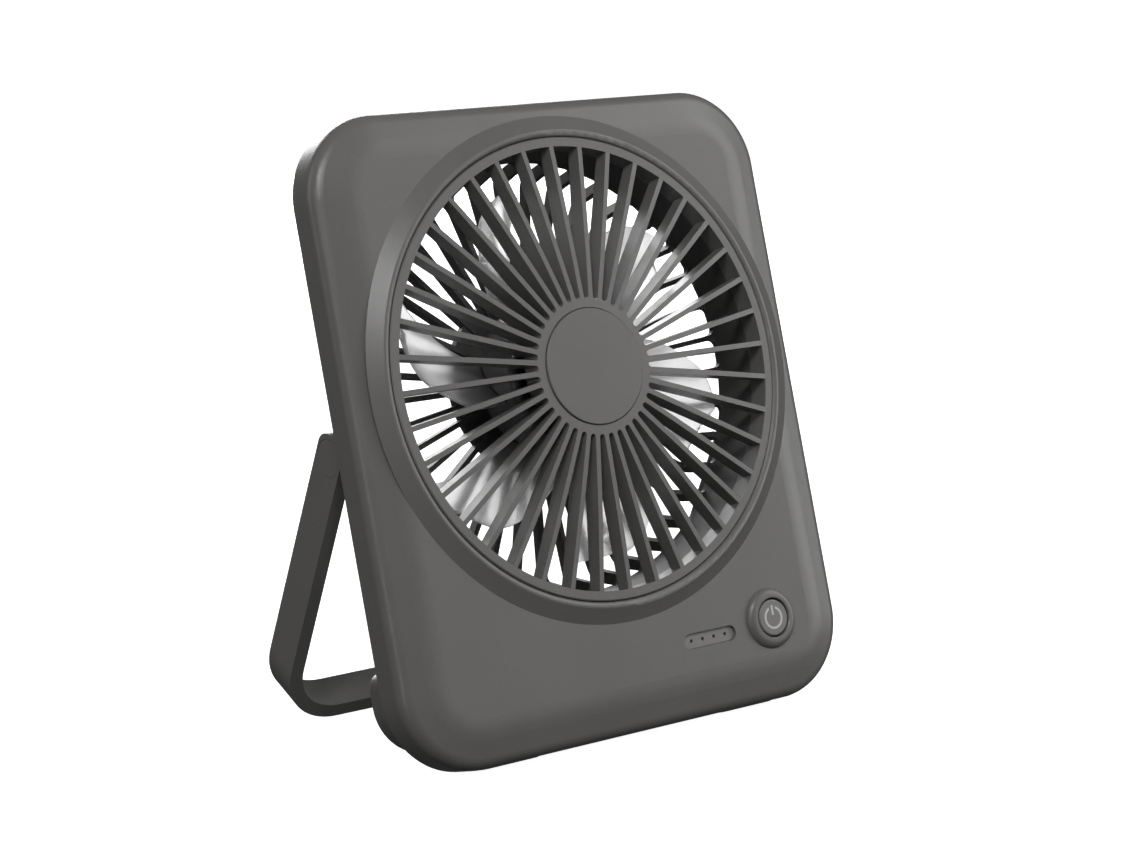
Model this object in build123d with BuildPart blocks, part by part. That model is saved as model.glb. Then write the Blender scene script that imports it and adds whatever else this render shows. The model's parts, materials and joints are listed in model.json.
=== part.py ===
"""Rechargeable desk fan: a flat rounded case leaning back on a folding U-shaped stand.

Every piece is drawn in the frame of the upright case: X to the right seen from the front,
Y into the depth of the case, Z up, with the fan axis along Y through the origin and Y = 0 on
the rim of the front grille. The stand is drawn folded flat, turned out about its pivots, and
then the whole fan is leant back until the case and the stand both rest on the floor, Z = 0.
Lengths are in millimetres.
"""

from build123d import *
from math import atan2, cos, degrees, pi, radians, sin
import os

# --- case -------------------------------------------------------------------------------------
CASE_WIDTH = 175.8
CASE_TOP = 87.6
CASE_BOTTOM = -117.4
CASE_CORNER = 26.7
WALL = 2.2
FUSE = 0.4
CUT = 1.0
FACE_Y = 2.5
SHOULDER_DEPTH = 3.1
SHOULDER_WIDTH = 12.0
SHOULDER_RADIUS = 26.0
WAIST_RADIUS = 4.6
SHELL_BACK_Y = 17.5

# --- rear housing -----------------------------------------------------------------------------
REAR_INSET = 6.9
REAR_CORNER = 17.0
REAR_BACK_Y = 22.5
BULGE_TOP = -82.9
BULGE_CORNER = 5.0
BULGE_BACK_Y = 36.0
BULGE_EDGE = 2.5
REAR_EDGE = 1.8
REAR_OPENING_R = 73.0

# --- front grille and duct --------------------------------------------------------------------
OPENING_R = 75.0
BEZEL_FOOT_R = 82.0
BEZEL_FLANK = (79.6, 1.25)
BEZEL_CROWN = (77.4, 0.05)
BEZEL_CREST = (76.3, -0.25)
BEZEL_LIP = (75.35, 0.1)
BEZEL_MOUTH_Y = 0.5
BEZEL_ROOT = 3.0
GRILLE_GAP = 0.3
RIM_INNER_R = 71.6
RIM_BACK_Y = 7.5
RIB_COUNT = 40
RIB_WIDTH = 1.65
RIB_BACK_Y = 5.2
SLOT_INNER_R = 21.8
SLOT_END_ROUND = 0.9
GRILLE_DOME = 2.3
GRILLE_EDGE = 0.4
HUB_CAP_R = 18.75
HUB_CAP_DEPTH = 1.3
HUB_CAP_PROUD = 0.4
HUB_CAP_EDGE = 0.35
HUB_RECESS_FRONT_Y = 1.0
DUCT_WALL = 1.5
DUCT_FLANGE = 2.5
DUCT_REAR_R = 71.1

# --- rear cage --------------------------------------------------------------------------------
CAGE_RING_R = 76.0
CAGE_RING_THICKNESS = 2.0
CAGE_BAR_COUNT = 39
CAGE_BAR_WIDTH = 1.7
CAGE_BAR_DEPTH = 4.0
CAGE_BAR_INNER_R = 25.5
CAGE_BACK_Y = 38.0
CAGE_DRAFT = 0.2
CAGE_SLOT_WIDTH = 9.2
CAGE_SLOT_CORNER = 2.2
CAGE_FOOT = 1.1
CAGE_TOE = 0.9
CAGE_INNER_BEND = 2.0
CAGE_OUTER_BEND = 5.0
MOTOR_PLATE_R = 30.0
MOTOR_PLATE_THICKNESS = 3.0

# --- impeller and motor -----------------------------------------------------------------------
BLADE_COUNT = 6
BLADE_ANGLE = -25.0
BLADE_FRONT_Y = 14.0
BLADE_REAR_Y = 26.0
BLADE_THICKNESS = 1.5
BLADE_EDGE = 0.7
BLADE_SECTIONS = [
    (23.5, 25.5, 18, 1.6),
    (33, 21.5, 16.5, 2.0),
    (40, 17.5, 15.5, 2.3),
    (47, 12.7, 14, 2.5),
    (54, 7.7, 12.7, 2.6),
    (58.5, 3.2, 10.2, 2.3),
    (60.8, 0, 7, 1.8),
]
IMPELLER_HUB_R = 25.0
HUB_FRONT_Y = 8.4
HUB_BORE_R = 21.4
HUB_PLATE_Y = 10.4
HUB_BACK_Y = 26.5
HUB_EDGE = 2.5
SHAFT_R = 1.5
SHAFT_FRONT_Y = 6.8
SHAFT_BACK_Y = 30.5
SHAFT_EDGE = 0.3
NUT_R = 3.6
NUT_HEIGHT = 2.2
BEARING_R = 3.5
BEARING_LENGTH = 3.0
BEARING_PLACES = (13.5, 27.0)
RUNNING_CLEARANCE = 0.05
MOTOR_BASE_Y = 31.0
MOTOR_BASE_R = 16.0
HOLDER_R = 5.5
HOLDER_FRONT_Y = 13.5
MOTOR_SCREW_COUNT = 3
MOTOR_SCREW_CIRCLE_R = 12.0
MOTOR_SCREW_R = 1.1
MOTOR_SCREW_HEAD_R = 2.1
MOTOR_SCREW_HEAD_DEPTH = 1.3
MOTOR_SCREW_SINK = 0.2
CROSS_LENGTH = 2.6
CROSS_WIDTH = 0.6
CROSS_DEPTH = 0.6
STATOR_FRONT_Y = 16.0
STATOR_BACK_Y = 24.0
STATOR_R = 16.6
STATOR_HUB_R = 8.0
POLE_COUNT = 9
TOOTH_WIDTH = 2.4
TOOTH_LENGTH = 9.0
TOOTH_MIDDLE_R = 12.0
SHOE_WIDTH = 8.4
SHOE_DEPTH = 1.8
SHOE_MIDDLE_R = 15.8
COIL_LENGTH = 5.6
COIL_MIDDLE_R = 11.8
COIL_BUILD = 1.1
AIR_GAP = 0.6
MAGNET_FRONT_Y = 14.0
MAGNET_BACK_Y = 26.0
YOKE_INNER_R = 20.2
YOKE_PLATE = 1.0

# --- power button and indicators --------------------------------------------------------------
BUTTON_X = 56.3
BUTTON_Z = -90.3
BUTTON_R = 6.0
BUTTON_GAP = 0.5
BUTTON_SKIN = 1.8
BUTTON_FLANGE = 1.2
BUTTON_FLANGE_DEPTH = 0.6
BUTTON_PROUD = 1.8
BUTTON_RING_R = 10.1
BUTTON_RING_PROUD = 2.0
BUTTON_RING_LIP = 0.3
BUTTON_RING_CROWN = 1.1
BUTTON_RING_ARC = 2.6
BUTTON_EDGE = 0.6
LED_X = 30.1
LED_Z = -92.3
LED_COUNT = 4
LED_PITCH = 4.7
LED_PIPE_R = 0.6
LED_BODY = (2.0, 1.6, 0.9)
LED_LENS_R = 0.7
LED_LENS_HEIGHT = 0.7
WINDOW_FLANGE = 1.5
WINDOW_FLANGE_DEPTH = 0.8
BOARD_Y = 9.0
BOARD_THICKNESS = 1.6

# --- battery ----------------------------------------------------------------------------------
CELL_R = 9.2
CELL_LENGTH = 65.0
CELL_Y = 22.2
CELL_Z = -95.0
CELL_HALF_GAP = 1.0
CELL_EDGE = 0.8
TAB_SIZE = (8.0, 14.0, 0.3)
TAB_CORNER = 1.0

# --- stand ------------------------------------------------------------------------------------
STAND_HALF_WIDTH = 86.25
STAND_THICKNESS = 4.7
STAND_BAND = 13.9
STAND_REACH = 100.9
STAND_CORNER = 22.5
STAND_END = 7.1
STAND_END_ROUND = 5.0
STAND_OPEN = 40.2
PIVOT_Y = 25.8
PIVOT_Z = -14.9
PIVOT_PIN_R = 2.5
PIVOT_CAP_R = 6.0
PIVOT_CAP_THICKNESS = 1.0
PIVOT_CAP_SEAT = 1.1
PIVOT_CAP_GAP = 0.12
PAD_PROUD = 0.5
PAD_EDGE = 0.5

# --- screws, pads, small parts ----------------------------------------------------------------
FLANGE_Y = 15.5
POST_R = 3.5
SCREW_R = 1.3
SCREW_GAP = 0.2
SCREW_BITE = 6.5
SCREW_END_Y = 10.0
SCREW_HEAD_R = 2.6
SCREW_HEAD_DEPTH = 1.6
SCREW_SINK = 0.2
HEX_R = 1.1
HEX_DEPTH = 0.7
PAD_WIDTH = 4.6
PAD_DEPTH = 1.0
BODY_PAD_LENGTH = 22.0
BODY_PAD_X = 48.0
BODY_PAD_Y = 14.4
STAND_PAD_X = 45.0
STAND_PAD_Y = PIVOT_Y - STAND_BAND / 2 + PAD_EDGE + PAD_WIDTH / 2
LUG_R = 7.0
LUG_LENGTH = 4.5
PIN_HEAD_R = 4.0
PIN_HEAD_GAP = 0.3
PIN_HEAD_HEIGHT = 1.0
PIN_POCKET = 2.3
PIN_PROUD = 0.1
WASHER_R = 5.5
WASHER_THICKNESS = 0.45
CAP_PEG_R = 2.5
LED_SLOT_LENGTH = 21.8
LED_SLOT_HEIGHT = 5.0
LED_RECESS = 1.1
USB_Y = 12.2
USB_Z = -84.0
USB_LENGTH = 12.0
USB_HOLE = (9.6, 3.9)
USB_SHELL = (9.0, 3.2)
USB_MOUTH = (8.3, 2.5)
USB_SINK = 0.4
USB_BACK_DEPTH = 6.5
USB_BACK_THICKNESS = 1.5
USB_TONGUE = (0.7, 6.6)
USB_TONGUE_SINK = 1.2
BOARD_X = 45.5
BOARD_Z = -90.0
BOARD_LENGTH = 63.0
BOARD_HEIGHT = 21.0
BOARD_CORNER = 1.5
CHIP_HEIGHT = 1.3
SWITCH_BODY = 6.0
SWITCH_HEIGHT = 2.6
SWITCH_FLOOR = 0.4
PLUNGER_R = 1.7
PLUNGER_REACH = 1.4
SYMBOL_DEPTH = 0.4
SYMBOL_R = 3.4
SYMBOL_STROKE = 0.8
SYMBOL_GAP = (2.6, 3.2)
SYMBOL_BAR_LENGTH = 3.4
SYMBOL_BAR_DROP = 0.9
TRAY_FRONT_Y = 11.4
TRAY_BACK_Y = 12.9
TRAY_HALF_LENGTH = 68.4
TRAY_HEIGHT = 16.0
TRAY_CORNER = 2.0
TRAY_WALL_REACH = 5.0
TRAY_DIVIDER = 1.2
TRAY_END = 1.8

HALF_WIDTH = CASE_WIDTH / 2
BUTTON_HOLE_R = BUTTON_R + BUTTON_GAP
BUTTON_FRONT_Y = FACE_Y - BUTTON_PROUD
BUTTON_FLANGE_Y = FACE_Y + WALL + 0.3
MID_Z = (CASE_TOP + CASE_BOTTOM) / 2
CASE_HEIGHT = CASE_TOP - CASE_BOTTOM
REAR_HALF_WIDTH = HALF_WIDTH - REAR_INSET
POST_PLACES = [(-68, 68), (68, 68), (-73, -66), (73, -66)]

pieces = {}


def keep(name, block):
    """Remember a finished piece under its name."""
    pieces[name] = block.part


def depth(y):
    """Drawing plane facing the front of the fan, at depth y, with local axes X and Z."""
    return Plane.XZ.offset(-y)


def rounded_block(inset, corner, front_y, back_y):
    """Block of the case outline, pulled in by inset, from front_y back to back_y."""
    with BuildPart() as block:
        with BuildSketch(depth(back_y)):
            with Locations((0, MID_Z)):
                RectangleRounded(CASE_WIDTH - 2 * inset, CASE_HEIGHT - 2 * inset, corner)
        extrude(amount=back_y - front_y)
    return block.part


def shouldered_block(inset, front_y, back_y):
    """Case block whose front edge falls away in a wide soft shoulder."""
    with BuildPart() as block:
        add(rounded_block(inset, CASE_CORNER - inset, front_y, back_y))
        front = block.faces().sort_by(Axis.Y)[0]
        chamfer(front.edges(), length=SHOULDER_WIDTH, length2=SHOULDER_DEPTH, reference=front)
        front = block.faces().sort_by(Axis.Y)[0]
        fillet(front.edges(), radius=SHOULDER_RADIUS)
        waist = block.edges().filter_by(Plane.XZ).group_by(Axis.Y)[-2]
        fillet(waist, radius=WAIST_RADIUS - inset * 0.5)
    return block.part


def tube(outer_r, inner_r, front_y, back_y):
    """Ring or disc round the fan axis."""
    with BuildPart() as block:
        with BuildSketch(depth(back_y)):
            Circle(outer_r)
            if inner_r > 0:
                Circle(inner_r, mode=Mode.SUBTRACT)
        extrude(amount=back_y - front_y)
    return block.part


# ==============================================================================================
# Case
# ==============================================================================================
with BuildPart() as front_shell:
    add(shouldered_block(0, FACE_Y, SHELL_BACK_Y))
    add(shouldered_block(WALL, FACE_Y + WALL, SHELL_BACK_Y), mode=Mode.SUBTRACT)
    # bezel: a raised ring that climbs from the face to a crest round the grille
    with BuildSketch(Plane.XY):
        with BuildLine():
            ThreePointArc((BEZEL_FOOT_R, FACE_Y), BEZEL_FLANK, BEZEL_CROWN)
            ThreePointArc(BEZEL_CROWN, BEZEL_CREST, BEZEL_LIP)
            Polyline(
                BEZEL_LIP,
                (OPENING_R, BEZEL_MOUTH_Y),
                (OPENING_R, RIM_BACK_Y),
                (OPENING_R + BEZEL_ROOT, RIM_BACK_Y),
                (BEZEL_FOOT_R, FACE_Y + FUSE),
                (BEZEL_FOOT_R, FACE_Y),
            )
        make_face()
    revolve(axis=Axis.Y)
    add(tube(OPENING_R, 0, BEZEL_CREST[1] - CUT, RIM_BACK_Y), mode=Mode.SUBTRACT)
    # screw posts
    with BuildSketch(depth(FLANGE_Y)):
        with Locations(*POST_PLACES):
            Circle(POST_R)
    extrude(amount=FLANGE_Y - FACE_Y - WALL + FUSE)
    with BuildSketch(depth(FLANGE_Y)):
        with Locations(*POST_PLACES):
            Circle(SCREW_R)
    extrude(amount=SCREW_BITE, mode=Mode.SUBTRACT)
    # raised ring round the power button
    ring_crest_x = BUTTON_X + BUTTON_HOLE_R + BUTTON_RING_CROWN
    with BuildSketch(Plane.XY.offset(BUTTON_Z)):
        with BuildLine():
            RadiusArc(
                (BUTTON_X + BUTTON_RING_R, FACE_Y),
                (ring_crest_x, FACE_Y - BUTTON_RING_PROUD),
                BUTTON_RING_ARC,
            )
            Polyline(
                (ring_crest_x, FACE_Y - BUTTON_RING_PROUD),
                (BUTTON_HOLE_R + BUTTON_X + BUTTON_RING_LIP, FACE_Y - BUTTON_RING_PROUD),
                (BUTTON_HOLE_R + BUTTON_X, FACE_Y - BUTTON_RING_PROUD + BUTTON_RING_LIP),
                (BUTTON_HOLE_R + BUTTON_X, FACE_Y + FUSE),
                (BUTTON_X + BUTTON_RING_R, FACE_Y + FUSE),
                (BUTTON_X + BUTTON_RING_R, FACE_Y),
            )
        make_face()
    revolve(axis=Axis((BUTTON_X, 0, BUTTON_Z), (0, 1, 0)))
    with BuildSketch(depth(FACE_Y + WALL)):
        with Locations((BUTTON_X, BUTTON_Z)):
            Circle(BUTTON_HOLE_R)
        with Locations((LED_X, LED_Z)):
            SlotOverall(LED_SLOT_LENGTH, LED_SLOT_HEIGHT)
    extrude(amount=WALL + BUTTON_RING_PROUD + CUT, mode=Mode.SUBTRACT)
    # inlet for the charging plug, in the right side wall
    with BuildSketch(Plane.YZ.offset(HALF_WIDTH + CUT)):
        with Locations((USB_Y, USB_Z)):
            SlotOverall(*USB_HOLE, rotation=90)
    extrude(amount=-(WALL + 2 * CUT), mode=Mode.SUBTRACT)
    # seats of the anti-slip pads
    with BuildSketch(Plane.XY.offset(CASE_BOTTOM)):
        with Locations((-BODY_PAD_X, BODY_PAD_Y), (BODY_PAD_X, BODY_PAD_Y)):
            SlotOverall(BODY_PAD_LENGTH, PAD_WIDTH)
    extrude(amount=PAD_DEPTH, mode=Mode.SUBTRACT)
keep("front_shell", front_shell)

with BuildPart() as rear_housing:
    add(rounded_block(WALL + 0.1, CASE_CORNER - WALL, FLANGE_Y, SHELL_BACK_Y))
    add(rounded_block(REAR_INSET, REAR_CORNER, FLANGE_Y, REAR_BACK_Y))
    fillet(rear_housing.faces().sort_by(Axis.Y)[-1].edges(), radius=REAR_EDGE)
    # battery bulge across the bottom
    with BuildSketch(depth(BULGE_BACK_Y)) as bulge:
        with Locations((0, MID_Z)):
            RectangleRounded(2 * REAR_HALF_WIDTH, CASE_HEIGHT - 2 * REAR_INSET, REAR_CORNER)
        with Locations((0, BULGE_TOP)):
            Rectangle(CASE_WIDTH, CASE_HEIGHT, align=(Align.CENTER, Align.MAX), mode=Mode.INTERSECT)
        fillet(bulge.vertices().group_by(Axis.Y)[-1], radius=BULGE_CORNER)
    extrude(amount=BULGE_BACK_Y - SHELL_BACK_Y)
    fillet(rear_housing.faces().sort_by(Axis.Y)[-1].edges(), radius=BULGE_EDGE)
    # hollow inside
    with BuildSketch(depth(REAR_BACK_Y - WALL)):
        with Locations((0, MID_Z)):
            RectangleRounded(
                2 * (REAR_HALF_WIDTH - WALL),
                CASE_HEIGHT - 2 * (REAR_INSET + WALL),
                REAR_CORNER - WALL,
            )
    extrude(amount=REAR_BACK_Y - WALL - FLANGE_Y, mode=Mode.SUBTRACT)
    with BuildSketch(depth(BULGE_BACK_Y - WALL)):
        with Locations((0, MID_Z)):
            RectangleRounded(
                2 * (REAR_HALF_WIDTH - WALL),
                CASE_HEIGHT - 2 * (REAR_INSET + WALL),
                REAR_CORNER - WALL,
            )
        with Locations((0, BULGE_TOP - WALL)):
            Rectangle(CASE_WIDTH, CASE_HEIGHT, align=(Align.CENTER, Align.MAX), mode=Mode.INTERSECT)
    extrude(amount=BULGE_BACK_Y - WALL - FLANGE_Y, mode=Mode.SUBTRACT)
    add(tube(REAR_OPENING_R, 0, FLANGE_Y - CUT, REAR_BACK_Y + CUT), mode=Mode.SUBTRACT)
    # screw bosses
    with BuildSketch(depth(REAR_BACK_Y - FUSE)):
        with Locations(*POST_PLACES):
            Circle(POST_R)
    extrude(amount=REAR_BACK_Y - FUSE - FLANGE_Y)
    # pivot lugs at both sides
    for side in (-1, 1):
        with BuildSketch(Plane.YZ.offset(side * REAR_HALF_WIDTH)):
            with Locations((PIVOT_Y, PIVOT_Z)):
                Circle(LUG_R)
            with Locations((REAR_BACK_Y - WALL, PIVOT_Z)):
                Rectangle(
                    PIVOT_Y - REAR_BACK_Y + WALL,
                    2 * LUG_R,
                    align=(Align.MIN, Align.CENTER),
                )
        extrude(amount=-side * LUG_LENGTH)
    with BuildSketch(Plane.YZ):
        with Locations((PIVOT_Y, PIVOT_Z)):
            Circle(PIVOT_PIN_R)
    extrude(amount=CASE_WIDTH, both=True, mode=Mode.SUBTRACT)
    # counterbored screw holes
    with BuildSketch(depth(REAR_BACK_Y + CUT)):
        with Locations(*POST_PLACES):
            Circle(SCREW_R + SCREW_GAP)
    extrude(amount=REAR_BACK_Y, mode=Mode.SUBTRACT)
    with BuildSketch(depth(REAR_BACK_Y + CUT)):
        with Locations(*POST_PLACES):
            Circle(SCREW_HEAD_R + SCREW_GAP)
    extrude(amount=CUT + SCREW_HEAD_DEPTH, mode=Mode.SUBTRACT)
keep("rear_housing", rear_housing)

with BuildPart() as case_screws:
    head_y = REAR_BACK_Y - SCREW_SINK
    with BuildSketch(depth(head_y)):
        with Locations(*POST_PLACES):
            Circle(SCREW_HEAD_R)
        with Locations(*POST_PLACES):
            RegularPolygon(HEX_R, 6, mode=Mode.SUBTRACT)
    extrude(amount=HEX_DEPTH)
    with BuildSketch(depth(head_y - HEX_DEPTH)):
        with Locations(*POST_PLACES):
            Circle(SCREW_HEAD_R)
    extrude(amount=SCREW_HEAD_DEPTH - SCREW_SINK - HEX_DEPTH)
    with BuildSketch(depth(REAR_BACK_Y - SCREW_HEAD_DEPTH)):
        with Locations(*POST_PLACES):
            Circle(SCREW_R)
    extrude(amount=REAR_BACK_Y - SCREW_HEAD_DEPTH - SCREW_END_Y)
keep("case_screws", case_screws)

with BuildPart() as body_pads:
    with BuildSketch(Plane.XY.offset(CASE_BOTTOM - PAD_PROUD)):
        with Locations((-BODY_PAD_X, BODY_PAD_Y), (BODY_PAD_X, BODY_PAD_Y)):
            SlotOverall(BODY_PAD_LENGTH, PAD_WIDTH)
    extrude(amount=PAD_DEPTH + PAD_PROUD)
keep("body_pads", body_pads)

# ==============================================================================================
# Grilles and duct
# ==============================================================================================
half_pitch = pi / RIB_COUNT


def slot_side(along):
    """Point on the side of a slot, this far out along the middle of the rib beside it."""
    return (
        along * cos(half_pitch) + RIB_WIDTH / 2 * sin(half_pitch),
        along * sin(half_pitch) - RIB_WIDTH / 2 * cos(half_pitch),
    )


inner_x, inner_z = slot_side(SLOT_INNER_R + SLOT_END_ROUND)
outer_x, outer_z = slot_side(RIM_INNER_R)
with BuildSketch() as grille_slot:
    with BuildLine():
        ThreePointArc((inner_x, -inner_z), (SLOT_INNER_R, 0), (inner_x, inner_z))
        Line((inner_x, inner_z), (outer_x, outer_z))
        ThreePointArc((outer_x, outer_z), (RIM_INNER_R, 0), (outer_x, -outer_z))
        Line((outer_x, -outer_z), (inner_x, -inner_z))
    make_face()

with BuildPart() as front_grille:
    with BuildSketch(Plane.XY):
        with BuildLine():
            Polyline(
                (0, -GRILLE_DOME),
                (0, RIB_BACK_Y),
                (RIM_INNER_R, RIB_BACK_Y),
                (RIM_INNER_R, RIM_BACK_Y),
                (OPENING_R - GRILLE_GAP, RIM_BACK_Y),
                (OPENING_R - GRILLE_GAP, GRILLE_EDGE),
                (OPENING_R - GRILLE_GAP - GRILLE_EDGE, 0),
                (RIM_INNER_R, 0),
            )
            TangentArc((0, -GRILLE_DOME), (RIM_INNER_R, 0), tangent=(1, 0))
        make_face()
    revolve(axis=Axis.Y)
    with BuildSketch(depth(RIM_BACK_Y + CUT)):
        with PolarLocations(0, RIB_COUNT, start_angle=degrees(half_pitch)):
            add(grille_slot.sketch)
    extrude(amount=RIM_BACK_Y + GRILLE_DOME + 2 * CUT, mode=Mode.SUBTRACT)
    seat_y = HUB_CAP_DEPTH - GRILLE_DOME
    add(tube(HUB_CAP_R + GRILLE_GAP, 0, -GRILLE_DOME - CUT, seat_y), mode=Mode.SUBTRACT)
    add(tube(HUB_CAP_R - CUT, 0, HUB_RECESS_FRONT_Y, RIB_BACK_Y + CUT), mode=Mode.SUBTRACT)
    add(tube(CAP_PEG_R, 0, seat_y - CUT, HUB_RECESS_FRONT_Y + CUT), mode=Mode.SUBTRACT)
keep("front_grille", front_grille)

with BuildPart() as grille_hub_cap:
    cap_front_y = -GRILLE_DOME - HUB_CAP_PROUD
    add(tube(HUB_CAP_R, 0, cap_front_y, seat_y))
    fillet(grille_hub_cap.faces().sort_by(Axis.Y)[0].edges(), radius=HUB_CAP_EDGE)
    add(tube(CAP_PEG_R, 0, seat_y - FUSE, HUB_RECESS_FRONT_Y))
keep("grille_hub_cap", grille_hub_cap)

with BuildPart() as air_duct:
    with BuildSketch(Plane.XY):
        with BuildLine():
            Polyline(
                (RIM_INNER_R, RIM_BACK_Y),
                (OPENING_R + DUCT_FLANGE, RIM_BACK_Y),
                (OPENING_R + DUCT_FLANGE, RIM_BACK_Y + DUCT_WALL),
                (RIM_INNER_R + DUCT_WALL, RIM_BACK_Y + DUCT_WALL),
                (DUCT_REAR_R + DUCT_WALL, REAR_BACK_Y),
                (DUCT_REAR_R, REAR_BACK_Y),
                close=True,
            )
        make_face()
    revolve(axis=Axis.Y)
keep("air_duct", air_duct)

with BuildPart() as cage_bar:
    with BuildSketch(Plane.XY):
        with BuildLine():
            bar_front_y = REAR_BACK_Y + CAGE_RING_THICKNESS / 2
            ring_back_y = REAR_BACK_Y + CAGE_RING_THICKNESS
            lean_in = CAGE_DRAFT * (CAGE_BACK_Y - ring_back_y)
            outer_foot = DUCT_REAR_R + CAGE_FOOT
            inner_y = CAGE_BACK_Y - CAGE_BAR_DEPTH
            FilletPolyline(
                (CAGE_BAR_INNER_R, inner_y),
                (outer_foot - lean_in - CAGE_BAR_DEPTH, inner_y),
                (outer_foot - CAGE_BAR_DEPTH, bar_front_y),
                radius=CAGE_INNER_BEND,
            )
            Polyline(
                (outer_foot - CAGE_BAR_DEPTH, bar_front_y),
                (outer_foot + CAGE_TOE, bar_front_y),
                (outer_foot + CAGE_TOE, ring_back_y),
                (outer_foot, ring_back_y),
            )
            FilletPolyline(
                (outer_foot, ring_back_y),
                (outer_foot - lean_in, CAGE_BACK_Y),
                (CAGE_BAR_INNER_R, CAGE_BACK_Y),
                radius=CAGE_OUTER_BEND,
            )
            Line((CAGE_BAR_INNER_R, CAGE_BACK_Y), (CAGE_BAR_INNER_R, inner_y))
        make_face()
    extrude(amount=CAGE_BAR_WIDTH / 2, both=True)

with BuildPart() as rear_cage:
    # ring with the rounded outer ends of the slots
    with BuildSketch(depth(ring_back_y)):
        Circle(CAGE_RING_R)
        Circle(outer_foot - CAGE_BAR_DEPTH, mode=Mode.SUBTRACT)
        slot_middle_r = DUCT_REAR_R - CAGE_SLOT_WIDTH / 2
        with PolarLocations(slot_middle_r, CAGE_BAR_COUNT):
            RectangleRounded(CAGE_SLOT_WIDTH, CAGE_SLOT_WIDTH, CAGE_SLOT_CORNER, mode=Mode.SUBTRACT)
    extrude(amount=CAGE_RING_THICKNESS)
    add(tube(MOTOR_PLATE_R, 0, CAGE_BACK_Y - MOTOR_PLATE_THICKNESS, CAGE_BACK_Y))
    bar_pitch = 360 / CAGE_BAR_COUNT
    add([cage_bar.part.rotate(Axis.Y, bar_pitch * (turn + 0.5)) for turn in range(CAGE_BAR_COUNT)])
    with BuildSketch(depth(CAGE_BACK_Y + CUT)):
        with PolarLocations(MOTOR_SCREW_CIRCLE_R, MOTOR_SCREW_COUNT, start_angle=90):
            Circle(MOTOR_SCREW_R)
    extrude(amount=MOTOR_PLATE_THICKNESS + 2 * CUT, mode=Mode.SUBTRACT)
    with BuildSketch(depth(CAGE_BACK_Y + CUT)):
        with PolarLocations(MOTOR_SCREW_CIRCLE_R, MOTOR_SCREW_COUNT, start_angle=90):
            Circle(MOTOR_SCREW_HEAD_R + SCREW_GAP)
    extrude(amount=CUT + MOTOR_SCREW_SINK + MOTOR_SCREW_HEAD_DEPTH, mode=Mode.SUBTRACT)
keep("rear_cage", rear_cage)

# ==============================================================================================
# Motor
# ==============================================================================================
with BuildPart() as motor_base:
    add(tube(MOTOR_BASE_R, 0, MOTOR_BASE_Y, CAGE_BACK_Y - MOTOR_PLATE_THICKNESS))
    add(tube(HOLDER_R, 0, HOLDER_FRONT_Y, MOTOR_BASE_Y))
    add(tube(BEARING_R, 0, HOLDER_FRONT_Y - CUT, MOTOR_BASE_Y), mode=Mode.SUBTRACT)
    with BuildSketch(depth(CAGE_BACK_Y)):
        with PolarLocations(MOTOR_SCREW_CIRCLE_R, MOTOR_SCREW_COUNT, start_angle=90):
            Circle(MOTOR_SCREW_R)
    extrude(amount=CAGE_BACK_Y - MOTOR_BASE_Y + CUT, mode=Mode.SUBTRACT)
keep("motor_base", motor_base)

with BuildPart() as motor_screws:
    top_y = CAGE_BACK_Y - MOTOR_SCREW_SINK
    under_head_y = top_y - MOTOR_SCREW_HEAD_DEPTH
    with BuildSketch(depth(top_y)):
        with PolarLocations(MOTOR_SCREW_CIRCLE_R, MOTOR_SCREW_COUNT, start_angle=90):
            Circle(MOTOR_SCREW_HEAD_R)
            Rectangle(CROSS_LENGTH, CROSS_WIDTH, mode=Mode.SUBTRACT)
            Rectangle(CROSS_WIDTH, CROSS_LENGTH, mode=Mode.SUBTRACT)
    extrude(amount=CROSS_DEPTH)
    with BuildSketch(depth(top_y - CROSS_DEPTH)):
        with PolarLocations(MOTOR_SCREW_CIRCLE_R, MOTOR_SCREW_COUNT, start_angle=90):
            Circle(MOTOR_SCREW_HEAD_R)
    extrude(amount=MOTOR_SCREW_HEAD_DEPTH - CROSS_DEPTH)
    with BuildSketch(depth(under_head_y)):
        with PolarLocations(MOTOR_SCREW_CIRCLE_R, MOTOR_SCREW_COUNT, start_angle=90):
            Circle(MOTOR_SCREW_R)
    extrude(amount=under_head_y - MOTOR_BASE_Y)
keep("motor_screws", motor_screws)

with BuildPart() as bearings:
    for bearing_y in BEARING_PLACES:
        add(tube(BEARING_R, SHAFT_R + RUNNING_CLEARANCE, bearing_y, bearing_y + BEARING_LENGTH))
keep("bearings", bearings)

with BuildPart() as stator_core:
    add(tube(STATOR_HUB_R, HOLDER_R, STATOR_FRONT_Y, STATOR_BACK_Y))
    with BuildSketch(depth(STATOR_BACK_Y)):
        with PolarLocations(TOOTH_MIDDLE_R, POLE_COUNT):
            Rectangle(TOOTH_LENGTH, TOOTH_WIDTH)
        with PolarLocations(SHOE_MIDDLE_R, POLE_COUNT):
            Rectangle(SHOE_DEPTH, SHOE_WIDTH)
        Circle(STATOR_R, mode=Mode.INTERSECT)
    extrude(amount=STATOR_BACK_Y - STATOR_FRONT_Y)
    add(tube(HOLDER_R, 0, STATOR_FRONT_Y - CUT, STATOR_BACK_Y + CUT), mode=Mode.SUBTRACT)
keep("stator_core", stator_core)

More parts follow.
